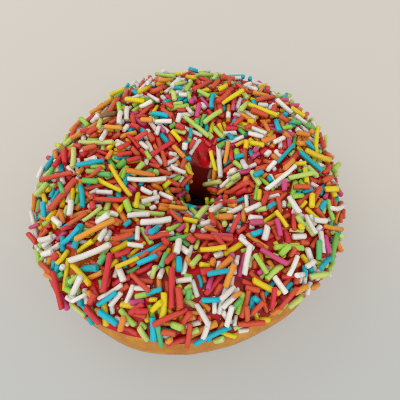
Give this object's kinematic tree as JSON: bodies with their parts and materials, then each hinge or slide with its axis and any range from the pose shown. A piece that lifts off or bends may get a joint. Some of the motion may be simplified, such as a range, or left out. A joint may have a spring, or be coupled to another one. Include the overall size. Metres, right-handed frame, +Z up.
{
  "type": "frosted ring doughnut with sugar strands",
  "caption": "Fried ring doughnut whose top is dipped in red icing and covered in coloured sugar strands; it lies flat on its base.",
  "frame": {"origin": "below the middle of the doughnut, on the surface that it lies on", "axes": "+Z up through the hole; +X to the right and +Y away from a person who faces the side with the widest bare band of dough"},
  "size_m": [0.0926, 0.0978, 0.0323],
  "materials": {
    "dough_crust": "golden fried crust, satin with a little oil",
    "icing_glaze": "set sugar icing, glossy",
    "strand_red": "sugar strand, soft sheen",
    "strand_white": "sugar strand, soft sheen",
    "strand_lime": "sugar strand, soft sheen",
    "strand_yellow": "sugar strand, soft sheen",
    "strand_orange": "sugar strand, soft sheen",
    "strand_blue": "sugar strand, soft sheen",
    "strand_pink": "sugar strand, soft sheen",
    "strand_green": "sugar strand, soft sheen",
    "strand_brown": "sugar strand, soft sheen"
  },
  "bodies": {
    "root": {"dough": "dough_crust", "icing": "icing_glaze"}
  },
  "joints": []
}
